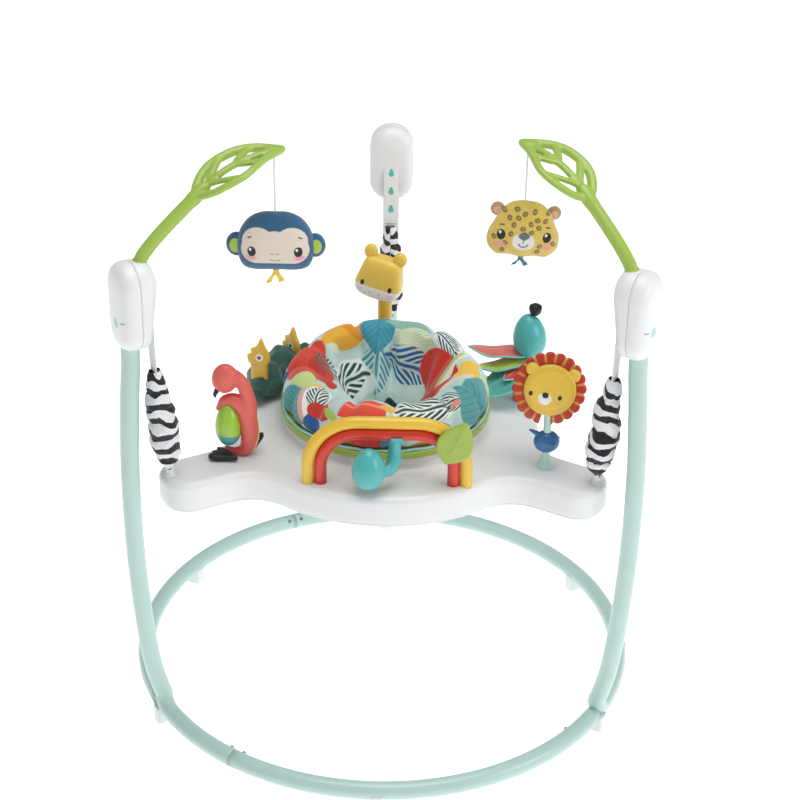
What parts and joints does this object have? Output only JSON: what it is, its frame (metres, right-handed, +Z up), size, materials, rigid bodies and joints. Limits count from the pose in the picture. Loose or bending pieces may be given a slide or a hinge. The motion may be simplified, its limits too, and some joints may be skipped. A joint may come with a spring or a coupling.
{
  "type": "activity jumper",
  "caption": "Free-standing baby jumper: a floor ring with three posts holds a toy tray and a turning padded seat on springs, under two leaf-shaped arms with hanging toys.",
  "frame": {"origin": "on the floor, under the middle of the bounding box; the floor ring is centred 11.5 mm in front of it", "axes": "+Z up, -Y towards the front with the toy bar, +X to the right seen from the front"},
  "size_m": [0.8259, 0.8603, 0.9335],
  "materials": {
    "mint_paint": "satin powder coat",
    "white_plastic": "semi-gloss moulded",
    "foot_plastic": "fine texture",
    "lime_plastic": "semi-gloss moulded",
    "spring_steel": "zinc plated",
    "webbing": "woven strap and cord",
    "zebra_fabric": "black stripes on white, gathered",
    "seat_print": "leaf print on pale mint, quilted",
    "yellow_plastic": "semi-gloss moulded",
    "red_plastic": "semi-gloss moulded",
    "teal_plastic": "semi-gloss moulded",
    "pale_mint_plastic": "semi-gloss moulded",
    "orange_red_plastic": "semi-gloss moulded",
    "blue_plastic": "semi-gloss moulded",
    "salmon_plastic": "semi-gloss moulded",
    "black_plastic": "matte moulded",
    "hedge_fabric": "padded cloth",
    "leaf_fabric": "padded cloth",
    "monkey_plush": "short pile plush",
    "leopard_plush": "short pile plush"
  },
  "bodies": {
    "frame": {"leg_rear": "mint_paint", "base_tube_rear": "mint_paint", "housing_outer_rear": "white_plastic", "housing_inner_rear": "white_plastic", "strap_rear": "webbing", "spring_rear": "spring_steel", "spring_cover_rear": "zebra_fabric", "leg_left": "mint_paint", "base_tube_left": "mint_paint", "housing_outer_left": "white_plastic", "housing_inner_left": "white_plastic", "strap_left": "webbing", "spring_left": "spring_steel", "spring_cover_left": "zebra_fabric", "leg_right": "mint_paint", "base_tube_right": "mint_paint", "housing_outer_right": "white_plastic", "housing_inner_right": "white_plastic", "strap_right": "webbing", "spring_right": "spring_steel", "spring_cover_right": "zebra_fabric", "foot_rear": "foot_plastic", "foot_left": "foot_plastic", "foot_right": "foot_plastic", "foot_front": "foot_plastic", "foot_rear_left": "foot_plastic", "foot_rear_right": "foot_plastic"},
    "tray": {"tray_top": "white_plastic", "tray_base": "white_plastic", "spring_anchor_rear": "white_plastic", "spring_anchor_left": "white_plastic", "spring_anchor_right": "white_plastic", "bar_outer": "yellow_plastic", "bar_inner": "red_plastic", "lion_stem": "pale_mint_plastic", "flamingo_body": "salmon_plastic", "flamingo_feet": "black_plastic", "hedge": "hedge_fabric", "giraffe_neck": "yellow_plastic", "bird_wings": "leaf_fabric"},
    "seat": {"seat_ring": "lime_plastic", "seat_pad": "seat_print"},
    "arm_left": {"leaf_arm_left": "lime_plastic"},
    "arm_right": {"leaf_arm_right": "lime_plastic"},
    "monkey": {"string_left": "webbing", "monkey": "monkey_plush"},
    "leopard": {"string_right": "webbing", "leopard": "leopard_plush"},
    "bar_swinger": {"bar_hook": "teal_plastic", "bar_egg": "teal_plastic"},
    "bar_leaf": {"bar_leaf": "lime_plastic"},
    "lion": {"lion_mane": "orange_red_plastic", "lion_face": "yellow_plastic"},
    "lion_bird": {"lion_bird": "blue_plastic"},
    "flamingo_ball": {"flamingo_ball": "lime_plastic"},
    "lizard_front": {"lizard_front": "yellow_plastic"},
    "lizard_rear": {"lizard_rear": "yellow_plastic"},
    "giraffe": {"giraffe_head": "yellow_plastic"},
    "bird": {"bird_body": "teal_plastic", "bird_crest": "black_plastic"}
  },
  "joints": [
    {"name": "bounce", "type": "slide", "parent": "frame", "child": "tray", "axis": [0, 0, 1], "range_m": [-0.1, 0], "stiffness_N_per_m": 1500, "springref_m": 0.04, "deforming": ["spring_rear", "spring_cover_rear", "spring_left", "spring_cover_left", "spring_right", "spring_cover_right"]},
    {"name": "seat_turn", "type": "hinge", "parent": "tray", "child": "seat", "pos_m": [0, -0.0115, 0.462], "axis": [0, 0, 1], "continuous": true},
    {"name": "arm_left_turn", "type": "hinge", "parent": "frame", "child": "arm_left", "pos_m": [-0.3438, -0.21, 0.792], "axis": [0, 0, 1], "range_deg": [-25, 25]},
    {"name": "arm_right_turn", "type": "hinge", "parent": "frame", "child": "arm_right", "pos_m": [0.3438, -0.21, 0.792], "axis": [0, 0, 1], "range_deg": [-25, 25]},
    {"name": "monkey_swing", "type": "hinge", "parent": "arm_left", "child": "monkey", "pos_m": [-0.1627, -0.0924, 0.9215], "axis": [1, 0, 0], "range_deg": [-35, 35]},
    {"name": "leopard_swing", "type": "hinge", "parent": "arm_right", "child": "leopard", "pos_m": [0.2021, -0.047, 0.9215], "axis": [1, 0, 0], "range_deg": [-35, 35]},
    {"name": "hook_swing", "type": "hinge", "parent": "tray", "child": "bar_swinger", "pos_m": [0.02, -0.2075, 0.5311], "axis": [1, 0, 0], "range_deg": [-25, 25]},
    {"name": "bar_leaf_spin", "type": "hinge", "parent": "tray", "child": "bar_leaf", "pos_m": [0.107, -0.2208, 0.525], "axis": [0, 1, 0], "continuous": true},
    {"name": "lion_spin", "type": "hinge", "parent": "tray", "child": "lion", "pos_m": [0.246, -0.1485, 0.578], "axis": [0, 0, 1], "continuous": true},
    {"name": "lion_bird_spin", "type": "hinge", "parent": "tray", "child": "lion_bird", "pos_m": [0.246, -0.1485, 0.491], "axis": [0, 0, 1], "continuous": true},
    {"name": "flamingo_ball_spin", "type": "hinge", "parent": "tray", "child": "flamingo_ball", "pos_m": [-0.232, -0.1295, 0.493], "axis": [0, 0, 1], "continuous": true},
    {"name": "lizard_front_tip", "type": "hinge", "parent": "tray", "child": "lizard_front", "pos_m": [-0.2047, 0.0472, 0.487], "axis": [-0.2756, -0.9613, 0], "range_deg": [-12, 12]},
    {"name": "lizard_rear_tip", "type": "hinge", "parent": "tray", "child": "lizard_rear", "pos_m": [-0.1583, 0.131, 0.487], "axis": [-0.6691, -0.7431, 0], "range_deg": [-12, 12]},
    {"name": "giraffe_turn", "type": "hinge", "parent": "tray", "child": "giraffe", "pos_m": [-0.013, 0.1915, 0.564], "axis": [0, 0, 1], "range_deg": [-45, 45]},
    {"name": "bird_spin", "type": "hinge", "parent": "tray", "child": "bird", "pos_m": [0.23, 0.0805, 0.558], "axis": [0, 0, 1], "continuous": true}
  ]
}
